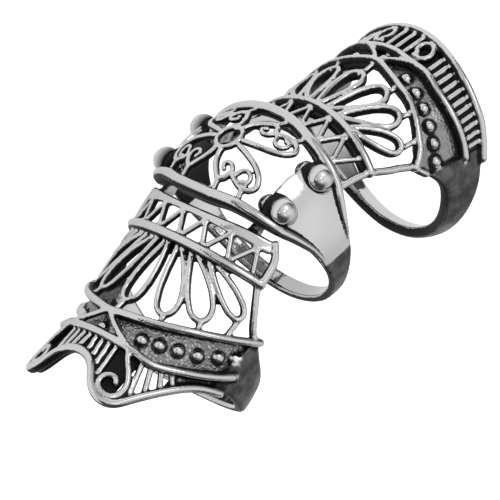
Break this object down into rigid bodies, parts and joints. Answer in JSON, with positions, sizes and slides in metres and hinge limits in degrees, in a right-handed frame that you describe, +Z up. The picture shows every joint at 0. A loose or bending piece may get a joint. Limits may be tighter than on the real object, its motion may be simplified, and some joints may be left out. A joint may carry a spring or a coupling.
{
  "type": "knuckle armor ring",
  "caption": "Full-finger knuckle armor ring: three pierced, cast sections in blackened silver-tone alloy, riveted at two hinges, lying on its side.",
  "frame": {"origin": "centre of the footprint, on the surface that the ring lies on", "axes": "+Z up from the surface; +X along the finger towards the tip section; the ornament on the knuckle faces -Y"},
  "size_m": [0.0538, 0.025, 0.0225],
  "materials": {
    "alloy": "polished, with blackened recesses",
    "rivet_metal": "polished"
  },
  "bodies": {
    "middle": {"knuckle_dome": "alloy", "rivet_front_near": "rivet_metal", "rivet_front_far": "rivet_metal", "rivet_rear_near": "rivet_metal", "rivet_rear_far": "rivet_metal"},
    "front": {"front_section": "alloy"},
    "rear": {"rear_section": "alloy"}
  },
  "joints": [
    {"name": "front_hinge", "type": "hinge", "parent": "middle", "child": "front", "pos_m": [0.00103, -0.00796, 0.01006], "axis": [0.0069, -0.1305, 0.9914], "range_deg": [-8, 26]},
    {"name": "rear_hinge", "type": "hinge", "parent": "middle", "child": "rear", "pos_m": [-0.00429, -0.00796, 0.0101], "axis": [-0.0069, 0.1305, -0.9914], "range_deg": [-8, 35]}
  ]
}
